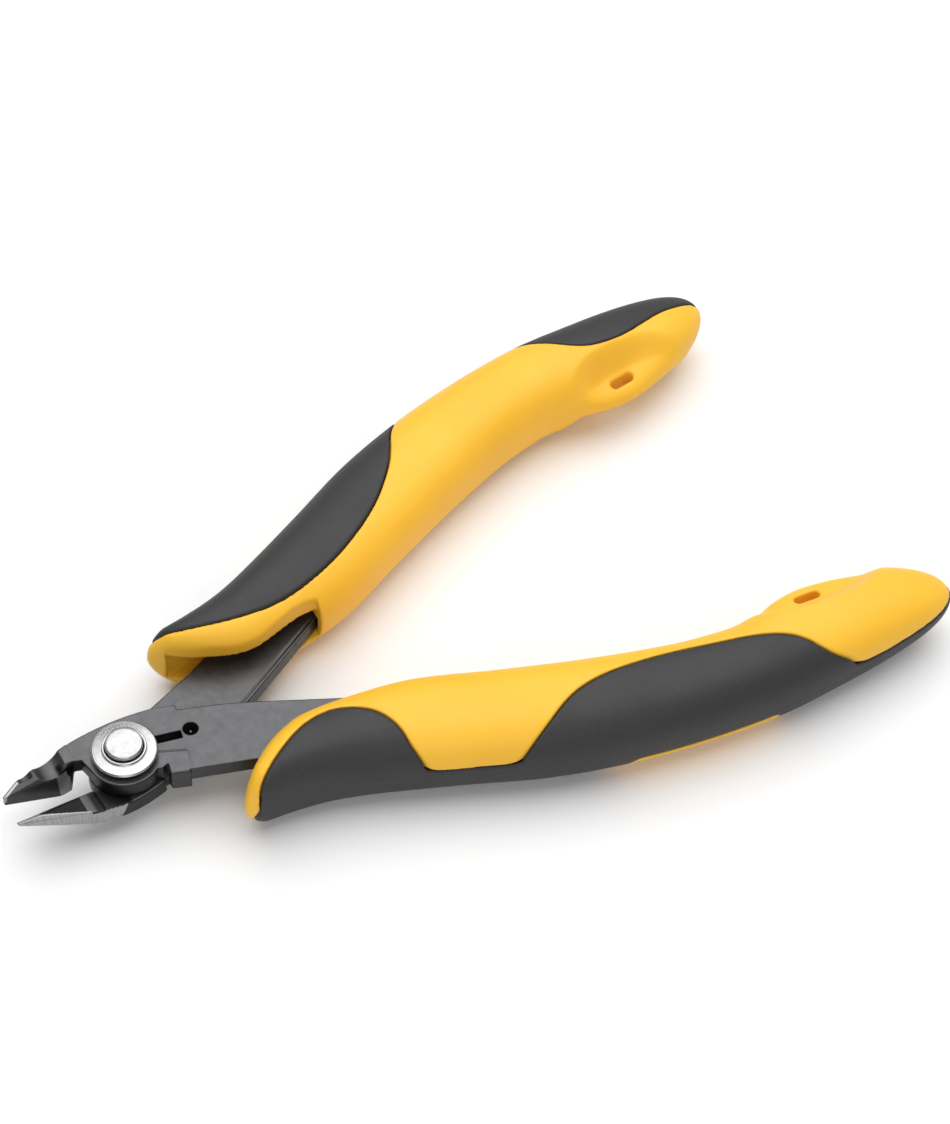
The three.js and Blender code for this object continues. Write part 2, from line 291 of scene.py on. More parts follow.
def settle(field, points, step):
    """Moves the points onto the field's exact zero level."""
    probe = 0.2 * step
    for _ in range(2):
        x, y, z = points.T
        value = field(x, y, z)
        slope = np.column_stack([
            (field(x + probe, y, z) - value) / probe,
            (field(x, y + probe, z) - value) / probe,
            (field(x, y, z + probe) - value) / probe,
        ])
        size = np.maximum((slope ** 2).sum(axis=1), 0.25)
        move = np.clip(-value / size, -0.4 * step, 0.4 * step)[:, None] * slope
        points = points + np.clip(move, -0.4 * step, 0.4 * step)
    return points


def sculpt(field, low, high, step):
    axes = [np.arange(a, b + step, step) for a, b in zip(low, high)]
    x, y, z = np.meshgrid(*axes, indexing="ij", sparse=True)
    points, squares = surface_net(field(x, y, z), low, step)
    return settle(field, points, step), squares


def add_piece(name, points, faces, material):
    """A mesh object from points in millimetres about the pivot."""
    mesh = bpy.data.meshes.new(name)
    faces = np.asarray(faces)
    mesh.vertices.add(len(points))
    mesh.vertices.foreach_set("co", (np.asarray(points) * MM + PIVOT).ravel())
    mesh.loops.add(faces.size)
    mesh.loops.foreach_set("vertex_index", faces.ravel())
    mesh.polygons.add(len(faces))
    mesh.polygons.foreach_set("loop_start", np.arange(len(faces)) * faces.shape[1])
    mesh.polygons.foreach_set("use_smooth", np.ones(len(faces), bool))
    mesh.update(calc_edges=True)
    mesh.materials.append(material)
    piece = bpy.data.objects.new(name, mesh)
    bpy.context.scene.collection.objects.link(piece)
    return piece


def weld(piece):
    """Merges the points that coincide, which are those on the axis of a turned piece."""
    mesh = bmesh.new()
    mesh.from_mesh(piece.data)
    bmesh.ops.remove_doubles(mesh, verts=mesh.verts, dist=0.001 * MM)
    mesh.to_mesh(piece.data)
    mesh.free()


def turned_over(points):
    """Half a turn about X, which takes the far half to the near one."""
    return np.asarray(points) * (1, -1, -1)


def turn(profile, closed):
    """A profile of (radius, height) swept round the pivot axis, as points and squares."""
    profile = np.array(profile, float)
    angles = np.arange(TURNED_STEPS) * 2 * np.pi / TURNED_STEPS
    points = np.array([(r * math.cos(a), r * math.sin(a), z) for a in angles for r, z in profile])
    count = len(profile)
    squares = []
    for i in range(TURNED_STEPS):
        for j in range(count if closed else count - 1):
            here, there = i * count, (i + 1) % TURNED_STEPS * count
            nearer, further = j, (j + 1) % count
            squares.append((here + nearer, there + nearer, there + further, here + further))
    return points, squares


def tube(path, radius):
    """A round wire along a path, its ends closed by small domes."""
    path = np.array(path, float)
    along = np.gradient(path, axis=0)
    along /= np.linalg.norm(along, axis=1)[:, None]
    side = np.cross(along[0], (0.3, 0.2, 1))
    rings = []
    for i, direction in enumerate(along):
        side = side - direction * side.dot(direction)
        side /= np.linalg.norm(side)
        other = np.cross(direction, side)
        angles = np.arange(WIRE_SIDES) * 2 * np.pi / WIRE_SIDES
        rings.append((path[i], direction, np.outer(np.cos(angles), side) + np.outer(np.sin(angles), other)))
    dome = [(0.02, 1.0), (0.5, 0.86), (0.86, 0.5)]
    points = []
    for share, back in dome:
        points.append(rings[0][0] - rings[0][1] * radius * back + rings[0][2] * radius * share)
    for centre, _, circle in rings:
        points.append(centre + circle * radius)
    for share, ahead in reversed(dome):
        points.append(rings[-1][0] + rings[-1][1] * radius * ahead + rings[-1][2] * radius * share)
    count = len(points)
    squares = []
    for i in range(count - 1):
        here, there = i * WIRE_SIDES, (i + 1) * WIRE_SIDES
        for j in range(WIRE_SIDES):
            k = (j + 1) % WIRE_SIDES
            squares.append((here + j, here + k, there + k, there + j))
    return np.concatenate(points), squares


# ---- levers ----

TANG_INNER = [[10.1, -4.1], [10.1, -3.2], [16.6, -0.7], [21.1, 1.4], [36.5, 9.2], [48, 15.6], [60, 22.5]]
TANG_END = [[62, 24.5], [62, 28], [60, 29]]
TANG_OUTER = [[48, 23.4], [36.5, 18.6], [26, 14.4], [15.2, 9.8], [7.1, 7]]


def mirrored(points):
    return [[x, -y] for x, y in reversed(points)]


def flush_z(x):
    """The height of the jaws' flush face, which is ground at a slope."""
    return -OUTER + (FLUSH_START - x) * FLUSH_SLOPE


FRONT_OUTLINE = outline([
    [-8, 5.2], [-8.3, 2.95], [-5.9, 2.1], *arc(5.4, 185, 303, 24), [3.6, -4.8], [4.6, -4.5], [4.2, -6.3],
    *mirrored(TANG_OUTER), *mirrored(TANG_END), *mirrored(TANG_INNER),
    *spline([[6.9, 5.2], [3.7, 5.7], [0.7, 5.95], [-2.5, 5.95], [-5.8, 5.7], [-8, 5.2]], 4)[:-1],
])
REAR_OUTLINE = outline([
    [-7.4, -1.8], *spline([[-8, -4.9], [-4.1, -5.75], [-2.4, -5.95], [0, -5.85], [2.7, -5.4], [3.85, -5.15]], 4),
    [3.85, -4.45], [7, -4.2], *TANG_INNER, *TANG_END, *TANG_OUTER, [3.7, 5.3], *arc(5.5, 90, 190, 24),
    [-5.9, -1.6],
])
# The tang is coined a little thinner than the head
TANG_FLOOR = outline([
    [10.1, 9], [10.08, 3.2], [9, -0.4], [8.75, -2], [8.4, -2.9], [8.1, -3.7], [7.1, -7.1], [7, -9], [70, -60],
    [70, 20],
])
STOP_TAB = outline([[4.25, -5.3], [6.9, -5.5], [6.9, -7.35], [4.25, -6.3]])


def slot_outline():
    """The open slot that the spring's leg is fitted through."""
    turn_by = math.radians(SLOT_TURN)
    along = np.array([math.cos(turn_by), math.sin(turn_by)])
    across = np.array([-along[1], along[0]]) * SLOT_HALF
    near, far = (np.array([0, 1.2]) + reach * along for reach in SLOT_ENDS)
    return outline([near - across, far - across, far + across, near + across])


SLOT = slot_outline()
GROOVE = outline([[2, -0.65], [10.2, -1.4], [10.2, -0.1], [2, 0.65]])


def spring_seat(x, y, z):
    """What is cut away for the spring: the coil's recess, the leg's groove, and the slot and hole outside."""
    seat = np.maximum(disc(RECESS_RADIUS)(x, y), z - RECESS_DEPTH)
    seat = np.minimum(seat, np.maximum(GROOVE(x, y), z - GROOVE_TOP))
    return np.minimum(seat, np.minimum(SLOT(x, y), disc(LEG_HOLE_RADIUS, *LEG_HOLE)(x, y)))


def plate(x, y, z, edge):
    """A pressed plate above the middle plane: flat, with rounded edges and a coined tang."""
    top = OUTER - COIN_STEP * smooth_step(0.5 - TANG_FLOOR(x, y) / 0.25)
    return meet(edge(x, y), np.maximum(z - top, INNER - z), EDGE_ROUND)


def tang_crease(x, y, z):
    """A shallow crease that the press leaves along the tang's inner edge."""
    line = np.hypot(REAR_OUTLINE(x, y) + TANG_CREASE_INSET, 1.4 * (z + INNER)) - TANG_CREASE_RADIUS
    return np.maximum(line, np.maximum(11 - x, y - 4.5 - 0.45 * (x - 16)))


def edge_at(x, side):
    """A point on a cutting edge: side is 1 for the upper jaw and -1 for the lower."""
    return (x, -side * x * OPEN_SLOPE, flush_z(x))


UPPER_JAW = hull([
    edge_at(TIP, 1), edge_at(-9.9, 1), (-8, 1.5, flush_z(-8)), (TIP, 2.3, flush_z(TIP)),
    (-15.5, 3.65, flush_z(-15.5)), (-8.6, 4.9, flush_z(-8.6)), (TIP, 1.9, 2.5), (TIP, 2.3, 2.4),
    (-15.4, 2.2, 2.65), (-15.5, 3.3, 2.85), (-15.5, 3.65, 2.6), (-9.7, 1.8, 2.2), (-6.8, 5.5, OUTER),
    (-6.8, 2.7, OUTER), (-6.8, 5.5, INNER), (-6.8, 2.7, INNER),
], GROUND_EDGE)
LOWER_JAW = hull([
    edge_at(TIP, -1), edge_at(-8.5, -1), (TIP + 0.3, -2.4, flush_z(TIP + 0.3)), (-12.4, -3.9, flush_z(-12.4)),
    (-8, -4.95, flush_z(-8)), (TIP + 0.2, -2.2, 1.4), (-14.7, -2.5, 1.5), (-7.8, -4.84, -INNER),
    (-7.4, -1.8, -INNER), (-7, -1.6, -OUTER), (-6, -5.4, -INNER), (-6, -5.4, -OUTER),
    (-6.2, -1.5, -INNER), (-6.2, -1.5, -OUTER),
], GROUND_EDGE)


def tab_crease(x, y, z):
    """The pressed line round the stop tab, on the plate's outer face."""
    line = np.full(np.broadcast(x, y).shape, np.inf)
    for (ax, ay), (bx, by) in zip(TAB_CREASE, TAB_CREASE[1:]):
        t = np.clip(((x - ax) * (bx - ax) + (y - ay) * (by - ay)) / ((bx - ax) ** 2 + (by - ay) ** 2), 0, 1)
        line = np.minimum(line, np.hypot(x - ax - t * (bx - ax), y - ay - t * (by - ay)))
    return np.hypot(line, z - OUTER) - TAB_CREASE_RADIUS


def across_jaw(x, z, x0, z0, radius):
    """A round hollow whose axis runs along Y."""
    return np.hypot(x - x0, z - z0) - radius


def front_lever_field(x, y, z):
    field = plate(x, y, z, FRONT_OUTLINE)
    field = join(field, UPPER_JAW(x, y, z), JAW_ROUND)
    tab = meet(STOP_TAB(x, y), slab(z, TAB_LOW, OUTER), 0.5)
    field = join(field, tab, 0.15)
    scoop = across_jaw(x, z, *SCOOP)
    field = cut(field, np.maximum(scoop, SCOOP_END - x), INNER_ROUND)
    notch = np.maximum(across_jaw(x, z, *NOTCH), NOTCH_SIDE - y)
    field = cut(field, np.maximum(notch, x - NOTCH_END), 0.1)
    field = cut(field, tab_crease(x, y, z), 0.05)
    field = np.maximum(field, -disc(RIVET_HOLE)(x, y))
    return cut(field, spring_seat(x, y, z), INNER_ROUND)


def rear_lever_field(x, y, z):
    field = plate(x, -y, -z, lambda px, py: REAR_OUTLINE(px, -py))
    field = join(field, LOWER_JAW(x, y, z), JAW_ROUND)
    field = np.maximum(field, -disc(RUNNING_HOLE)(x, y))
    field = cut(field, tang_crease(x, y, z), 0.06)
    return cut(field, spring_seat(x, -y, -z), INNER_ROUND)


# ---- handles ----

outer_edge = curve_through([
    [10, 16.6], [14, 16.8], [18, 17.2], [24, 18.6], [30, 20.85], [42, 26.2], [54, 31.6], [66, 35.4], [78, 37.9],
    [90, 39.4], [102, 39.8], [114, 40.9], [125, 42.9],
])
inner_edge = curve_through([
    [10, 14.6], [14, 11.6], [18, 8.9], [21.5, 7.3], [25, 6.5], [32, 6.9], [42, 8.7], [54, 13.5], [66, 18.2],
    [78, 22.3], [84, 23.8], [90, 24.7], [95, 24.1], [99, 23], [104, 22.5], [112, 23.2], [125, 25],
])
half_thickness = curve_through([
    [10, 3.6], [12, 4.7], [14, 5.6], [17, 6.5], [20, 6.9], [24, 7.05], [60, 7.05], [125, 7.05],
])
dish_edge = curve_through([[88, 22], [95, 27], [99, 28.8], [105, 29.6], [111, 29.3], [116, 27], [122, 24]])


def body_level(x, y, z):
    """Zero on the handle's skin, and negative inside."""
    middle = (outer_edge(x) + inner_edge(x)) / 2
    half = (outer_edge(x) - inner_edge(x)) / 2
    thick = half_thickness(x)
    fade = np.where(z > 0, smooth_step((FRONT_DISH_END - x) / FRONT_DISH_FADE),
                    smooth_step((BACK_DISH_END - x) / BACK_DISH_FADE))
    ends = smooth_step((x - np.where(z > 0, FRONT_DISH_START, BACK_DISH_START)) / DISH_RUN) * fade
    dish = ends * smooth_step((dish_edge(x) + 1 - y) / DISH_SLOPE)
    thick = thick + (FIN_HALF_THICKNESS - thick) * dish
    across = np.abs(y - middle) / half
    up = np.abs(z) / thick
    around = (across ** SQUARENESS + up ** SQUARENESS) ** (2 / SQUARENESS)
    nose = np.clip((HANDLE_START + NOSE - x) / NOSE, 0, None)
    tail = np.clip((x - HANDLE_END + TAIL) / TAIL, 0, None)
    return np.sqrt(around + nose ** 2 + tail ** 2.2) - 1


def body(x, y, z):
    """Nearly the true distance to the handle's skin."""
    probe = 0.05
    here = body_level(x, y, z)
    sx = body_level(x + probe, y, z) - here
    sy = body_level(x, y + probe, z) - here
    sz = body_level(x, y, z + probe) - here
    return here * probe / np.maximum(np.sqrt(sx * sx + sy * sy + sz * sz), 0.02 * probe)


FRONT_LOBES = [
    [[10, 17.8], [12, 15.7], [14.1, 14.3], [17.3, 12.8], [21.4, 11.5], [26, 10.7], [31, 10.6], [36.4, 11.6],
     [42.7, 13.7], [48.6, 16.7], [52.9, 19.5], [56.1, 22.3], [59.1, 25.5], [61, 28.3], [63.2, 31.8], [67, 35.6],
     [72, 40]],
    [[84, 42], [88, 39.4], [91.4, 37.6], [94.8, 35], [97.7, 32.6], [100.4, 31.2], [103.5, 30.7], [107.1, 30.8],
     [111.3, 31.7], [115.7, 32.8], [120, 33.4], [127, 34.1]],
]
BACK_LOBES = [
    [[10, 19], [13, 16], [15.9, 14.05], [18.5, 12.6], [21.6, 11.1], [24.7, 10.1], [27.6, 9.9], [30.1, 10.7],
     [32.5, 12.4], [34, 14.3], [34.9, 16.5], [35.3, 18.6], [35.5, 20.7], [36.6, 23.2], [39.2, 26], [42, 28]],
    [[43, 26.9], [47.1, 28.6], [49.7, 28.9], [52, 28.4], [54.8, 27.4], [57.6, 26.2], [60.5, 25.2], [63.5, 24.7],
     [67, 24.6], [72.1, 25.1], [77.8, 26.2], [83, 27.7], [88.2, 29.3], [91.7, 30.8], [94.3, 32.4], [96.2, 34.3],
     [97.8, 36.3], [99.6, 37.8], [102.4, 39], [107, 40.6]],
]


def lobe(points):
    """One lobe of the grip in plan: everything on the outer side of a smooth line."""
    line = spline(points, 6)
    return outline([*line, (line[-1][0], BEYOND), (line[0][0], BEYOND)])


FRONT_SHAPES = [lobe(points) for points in FRONT_LOBES]
BACK_SHAPES = [lobe(points) for points in BACK_LOBES]


def grip_region(x, y, z):
    """Negative where the grip covers the core: two lobes on each face, and a strip round the outer side."""
    half = STRIP_HALF - 0.4 * smooth_step((x - 95) / 15)
    region = np.maximum(slab(z, -half, half + 0.7), (outer_edge(x) + inner_edge(x)) / 2 - y)
    for shape in FRONT_SHAPES:
        region = join(region, np.maximum(shape(x, y), -half - z), LOBE_ROUND)
    for shape in BACK_SHAPES:
        region = join(region, np.maximum(shape(x, y), z - half), LOBE_ROUND)
    return meet(region, GRIP_START - GRIP_SLANT * np.clip(z, 0, 5) - x, 0.6)


MOUTH = outline([[MOUTH_START, -5], [MOUTH_END, -5], [MOUTH_END, 20], [28, 16.6], [20, 14.4],
                 [MOUTH_START, 13.4]])
POCKET = outline([[36, 8.6], [48, 15.2], [60, 22.1], [62.4, 24.3], [62.4, 28.3], [60.1, 29.4], [48, 23.8],
                  [36, 18.8]])


def lanyard_slot(x, y):
    """The round-ended slot through the fin."""
    turn_by = math.radians(LANYARD_TILT)
    dx, dy = x - LANYARD_PLACE[0], y - LANYARD_PLACE[1]
    along = dx * math.cos(turn_by) + dy * math.sin(turn_by)
    across = dy * math.cos(turn_by) - dx * math.sin(turn_by)
    return np.hypot(along - np.clip(along, -LANYARD_HALF, LANYARD_HALF), across) - LANYARD_RADIUS


front_rim_edge = curve_through([
    [13.3, 12.8], [16.2, 10.7], [19, 9.3], [21.5, 8.2], [23.5, 7.7], [26, 7.6], [28.5, 8.1], [32.6, 9.1],
    [35, 9.4], [36.9, 9.3],
])
back_rim_edge = curve_through([
    [13.3, 12.8], [15.9, 10.8], [17, 9.9], [18.4, 9.1], [20, 8.4], [21.5, 7.7], [23.2, 7.05], [25.1, 6.55],
    [27, 6.45], [29, 6.6], [36.9, 6.8],
])


def open_mouth(x, y, z):
    """The mouth that the lever enters by, and the flat rim cut round it."""
    edge = np.where(z > 0, front_rim_edge(x), back_rim_edge(x))
    rim = np.maximum(y - edge, slab(x, MOUTH_START, MOUTH_END))
    return np.minimum(meet(MOUTH(x, y), slab(z, CAVITY_LOW, CAVITY_HIGH), 0.5), rim)


def core_field(x, y, z):
    """The skin's solid, hollowed where the grip sits and where the tang enters."""
    skin = body(x, y, z)
    covered = np.maximum(grip_region(x, y, z) - JOIN_GAP, -skin - GRIP_DEPTH)
    field = cut(skin, covered, JOIN_ROUND)
    field = cut(field, open_mouth(x, y, z), LIP_ROUND)
    pocket = np.maximum(POCKET(x, y), slab(z, -OUTER - POCKET_GAP, -INNER + POCKET_GAP))
    field = cut(field, pocket, 0.3)
    return cut(field, lanyard_slot(x, y), 0.5)


def grip_field(x, y, z):
    """A layer under the skin, over the grip's region."""
    skin = body(x, y, z)
    field = meet(skin, grip_region(x, y, z) + JOIN_GAP, 2 * JOIN_ROUND)
    field = np.maximum(field, -skin - GRIP_DEPTH + JOIN_GAP)
    return cut(field, open_mouth(x, y, z), 0.5)


# ---- materials ----

def shader(name):
    """A new node material: its tree, a maker of linked nodes (_0 is the first input), and its main shader."""
    material = bpy.data.materials.new(name)
    material.use_nodes = True
    tree = material.node_tree
    principled = tree.nodes["Principled BSDF"]

    def node(kind, settings=None, **inputs):
        made = tree.nodes.new(kind)
        for key, value in (settings or {}).items():
            setattr(made, key, value)
        for key, value in inputs.items():
            socket = made.inputs[int(key[1:]) if key[0] == "_" else key]
            if isinstance(value, bpy.types.NodeSocket):
                tree.links.new(value, socket)
            else:
                socket.default_value = value
        return made

    return material, tree, node, principled


def ramp(node, source, stops):
    made = node("ShaderNodeValToRGB", Fac=source)
    elements = made.color_ramp.elements
    while len(elements) < len(stops):
        elements.new(0.5)
    for element, (position, colour) in zip(elements, stops):
        element.position = position
        element.color = (*colour, 1)
    return made.outputs["Color"]


def grey(value):
    return (value, value, value)


def place(node):
    return node("ShaderNodeTexCoord").outputs["Object"]


def noise(node, where, scale, detail=3, roughness=0.55):
    made = node("ShaderNodeTexNoise", Vector=where, Scale=scale, Detail=detail, Roughness=roughness)
    return made.outputs["Fac"]


def bump(node, height, distance, strength, normal=None):
    under = {} if normal is None else {"Normal": normal}
    return node("ShaderNodeBump", Height=height, Distance=distance, Strength=strength, **under).outputs["Normal"]


def seam_height(node):
    """Falls from 1 to 0 at the mould's parting line."""
    seam = node("ShaderNodeAttribute", {"attribute_name": "seam"}).outputs["Fac"]
    away = node("ShaderNodeMath", {"operation": "ABSOLUTE"}, _0=seam)
    scaled = node("ShaderNodeMath", {"operation": "MULTIPLY", "use_clamp": True}, _0=away.outputs[0], _1=6)
    return scaled.outputs[0]


def core_plastic():
    """Hard moulded plastic, satin, with a faint flow mottle and a fine spark texture."""
    material, tree, node, main = shader("core_plastic")
    where = place(node)
    colour = ramp(node, noise(node, where, 60, 4), [(0.3, (0.91, 0.49, 0.032)), (0.7, (0.95, 0.535, 0.042))])
    tree.links.new(colour, main.inputs["Base Color"])
    rough = ramp(node, noise(node, where, 400, 3), [(0.3, grey(0.42)), (0.7, grey(0.52))])
    tree.links.new(rough, main.inputs["Roughness"])
    main.inputs["IOR"].default_value = 1.48
    main.inputs["Specular IOR Level"].default_value = 0.35
    normal = bump(node, noise(node, where, 180, 2), 0.00012, 0.12)
    normal = bump(node, seam_height(node), 0.00003, 0.6, normal)
    tree.links.new(bump(node, noise(node, where, 3000, 2), 0.00002, 0.3, normal), main.inputs["Normal"])
    return material


def grip_rubber():
    """Soft overmould: dark, matte, finely textured, with the mould's parting line along its outer side."""
    material, tree, node, main = shader("grip_rubber")
    where = place(node)
    speckle = noise(node, where, 2500, 3)
    colour = ramp(node, speckle, [(0.3, (0.024, 0.0232, 0.0255)), (0.7, (0.031, 0.03, 0.033))])
    tree.links.new(colour, main.inputs["Base Color"])
    rough = ramp(node, noise(node, where, 120, 3), [(0.3, grey(0.52)), (0.7, grey(0.6))])
    tree.links.new(rough, main.inputs["Roughness"])
    main.inputs["IOR"].default_value = 1.45
    normal = bump(node, seam_height(node), 0.00006, 0.8)
    tree.links.new(bump(node, noise(node, where, 5200, 2), 0.00003, 0.3, normal), main.inputs["Normal"])
    return material


def black_steel():
    """Black-oxide pressed steel, with the bare grinding on the jaws' flanks, and painted shade mixed in near
    black where the dark mark is set.
    """
    material, tree, node, main = shader("black_steel")
    where = place(node)
    bare = node("ShaderNodeAttribute", {"attribute_name": "ground"}).outputs["Fac"]
    # The dark mark is painted shade: where it is set, the oxide's colour is mixed towards near black, so the mix
    # holds the oxide and the painted shade.
    dark = node("ShaderNodeAttribute", {"attribute_name": "dark"}).outputs["Fac"]
    face = ramp(node, noise(node, where, 500, 5, 0.65), [(0.3, (0.076, 0.077, 0.08)), (0.7, (0.099, 0.1, 0.103))])
    oxide = node("ShaderNodeMix", {"data_type": "RGBA"}, _0=dark, _6=face, _7=(0.006, 0.006, 0.0065, 1))
    lines = node("ShaderNodeMapping", Vector=where, Scale=(5200, 300, 300), Rotation=(0, 0, math.radians(12)))
    streaks = noise(node, lines.outputs["Vector"], 1, 2, 0.6)
    steel = ramp(node, streaks, [(0.3, grey(0.27)), (0.7, grey(0.38))])
    colour = node("ShaderNodeMix", {"data_type": "RGBA"}, _0=bare, _6=oxide.outputs[2], _7=steel)
    tree.links.new(colour.outputs[2], main.inputs["Base Color"])
    main.inputs["Metallic"].default_value = 0.8
    rough = ramp(node, noise(node, where, 900, 4), [(0.3, grey(0.3)), (0.7, grey(0.42))])
    tree.links.new(rough, main.inputs["Roughness"])
    normal = bump(node, noise(node, where, 2200, 4, 0.65), 0.00003, 0.3)
    height = node("ShaderNodeMath", {"operation": "MULTIPLY"}, _0=streaks, _1=bare)
    tree.links.new(bump(node, height.outputs[0], 0.00003, 0.4, normal), main.inputs["Normal"])
    return material


def bright_steel(name, low, high, rough, ring_bump):
    """Turned or peened bright steel: low and high are its grey's limits, and ring_bump the depth of the rings."""
    material, tree, node, main = shader(name)
    where = place(node)
    offset = node("ShaderNodeVectorMath", {"operation": "SUBTRACT"}, _0=where, _1=tuple(PIVOT))
    parts = node("ShaderNodeSeparateXYZ", Vector=offset.outputs[0])
    flat = node("ShaderNodeCombineXYZ", X=parts.outputs["X"], Y=parts.outputs["Y"])
    radius = node("ShaderNodeVectorMath", {"operation": "LENGTH"}, _0=flat.outputs[0]).outputs["Value"]
    rings = node("ShaderNodeTexNoise", {"noise_dimensions": "1D"}, W=radius, Scale=9000, Detail=3)
    mottle = noise(node, where, 700, 5, 0.65)
    tree.links.new(ramp(node, mottle, [(0.3, grey(low)), (0.7, grey(high))]), main.inputs["Base Color"])
    main.inputs["Metallic"].default_value = 1
    spread = noise(node, where, 1300, 4, 0.6)
    tree.links.new(ramp(node, spread, [(0.3, grey(rough)), (0.7, grey(rough + 0.12))]), main.inputs["Roughness"])
    normal = bump(node, rings.outputs["Fac"], 0.00003, ring_bump)
    tree.links.new(bump(node, mottle, 0.00005, 0.2, normal), main.inputs["Normal"])
    return material


def floor_paint():
    material, tree, node, main = shader("floor_paint")
    colour = ramp(node, noise(node, place(node), 3, 2), [(0.3, grey(0.9)), (0.7, grey(0.92))])
    tree.links.new(colour, main.inputs["Base Color"])
    main.inputs["Roughness"].default_value = 0.9
    return material


CORE = core_plastic()
GRIP = grip_rubber()
STEEL = black_steel()
RIVET = bright_steel("peened_steel", 0.34, 0.46, 0.24, 0.03)
WASHER = bright_steel("turned_steel", 0.36, 0.44, 0.14, 0.3)
# The wire's grey is set low as painted shade, so that its end, seen down the front plate's hole, reads dark
WIRE_STEEL = bright_steel("wire_steel", 0.1, 0.2, 0.3, 0)


# ---- pieces ----

MARK_SOFTNESS = 0.7
# How strongly painted shade darkens the jaws, the walls round the head and the walls of the tang
JAW_SHADE = 0.4
HEAD_SHADE = 0.85
TANG_SHADE = 0.5


def mark(piece, name, values):
    """A number at every point, which the material reads by its name."""
    attribute = piece.data.attributes.new(name, "FLOAT", "POINT")
    attribute.data.foreach_set("value", np.asarray(values, np.float32))


def finish_piece(piece, body_name, slot, *nodes):
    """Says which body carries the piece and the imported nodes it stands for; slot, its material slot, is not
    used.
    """
    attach(piece, body_name)
    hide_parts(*nodes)


def facet(points, a, b, c, reach):
    """1 where a point lies within reach of the plane through three others, 0 elsewhere."""
    a, b, c = (np.array(p, float) for p in (a, b, c))
    normal = np.cross(b - a, c - a)
    normal /= np.linalg.norm(normal)
    return (np.abs((points - a) @ normal) < reach).astype(float)


def patch(t, low, high):
    """1 between two limits, 0 beyond them, with soft ends."""
    return smooth_step((t - low) / MARK_SOFTNESS + 0.5) * smooth_step((high - t) / MARK_SOFTNESS + 0.5)


def side_shade(piece):
    """1 on the walls and the steep faces, 0 on the flat ones; it places the painted shade on the walls."""
    normals = np.empty(3 * len(piece.data.vertices), np.float32)
    piece.data.vertices.foreach_get("normal", normals)
    return smooth_step((0.93 - np.abs(normals[2::3])) / 0.35)


def make_levers():
    """Each lever, with its bare grinding marked as ground, and painted shade on its walls, hollows and jaws
    marked as dark.
    """
    low, high = (TIP - 0.7, -30.5, -3.6), (63, 6.9, 3.6)
    points, squares = sculpt(front_lever_field, low, high, LEVER_STEP)
    piece = add_piece("front_lever_steel", points, squares, STEEL)
    x, y, z = points.T
    under = (x < -9.3) & (z < flush_z(x) + FLUSH_SKIN)
    heel = facet(points, edge_at(-9.9, 1), (-8, 1.5, flush_z(-8)), (-9.7, 1.8, 2.2), 0.16)
    heel *= (x < -7.9) & (x > -10) & (y < 2.2) & (z < 1.95)
    rim_y = np.interp(x, (TIP, -15.5), (2.3, 3.65))
    chamfer = (x < -15.35) & (z > 1.6) & (y > rim_y - 0.7)
    ground = np.maximum.reduce([under, heel, chamfer])
    mark(piece, "ground", ground)
    # Painted shade in the recess behind the upper jaw's heel
    recess = patch(x, -9.6, -5.2) * patch(y, 0.9, 3.4) * patch(z, -5, 2.6)
    # Painted shade over the upper jaw beyond its heel, on flat and steep faces alike, and on the walls, strongest
    # round the head
    jaw = JAW_SHADE * smooth_step((-9.4 - x) / 2)
    along = np.interp(x, (-10, -6, 3, 4.2), (JAW_SHADE, HEAD_SHADE, HEAD_SHADE, TANG_SHADE))
    sides = along * side_shade(piece)
    shade = np.maximum(jaw, sides)
    # The dark mark carries this painted shade, kept off the bare grinding
    mark(piece, "dark", np.maximum(shade, recess) * (1 - ground))
    finish_piece(piece, FRONT, "lever_steel", "front_lever")

    low, high = (TIP - 0.7, -6.9, -3.6), (63, 30.5, 2.2)
    points, squares = sculpt(rear_lever_field, low, high, LEVER_STEP)
    piece = add_piece("rear_lever_steel", points, squares, STEEL)
    x, y, z = points.T
    under = (x < -8) & (z < flush_z(x) + FLUSH_SKIN)
    ridge = np.interp(x, (TIP, -14.7, -7.8, -4.1, -2.4), (-2, -2.4, -4.74, -5.62, -5.8))
    flank = (y < ridge + 0.05) & (x < -2.6 + 0.42 * (z + 0.15)) & ((x < -7.8) | (z < -0.2))
    tip_facet = (x < -14.5) & (z > flush_z(x) + FLUSH_SKIN)
    ground = (flank | under | tip_facet).astype(float)
    mark(piece, "ground", ground)
    # Painted shade: near black on the lower jaw's bevel, in the hollow beside the pivot disc, and on the walls
    bevel = (x < -8.3) & (y < 0) & (z > flush_z(x) + FLUSH_SKIN)
    hollow = HEAD_SHADE * patch(x, -7.1, -1.8) * patch(y, -7, -1.8) * patch(z, -0.6, 5)
    sides = np.interp(x, (-6, 6, 8), (HEAD_SHADE, HEAD_SHADE, TANG_SHADE)) * side_shade(piece)
    # The dark mark carries this painted shade, kept off the bare grinding
    dark = np.maximum.reduce([sides, bevel, hollow])
    mark(piece, "dark", dark * (1 - ground))
    finish_piece(piece, REAR, "lever_steel", "rear_lever")


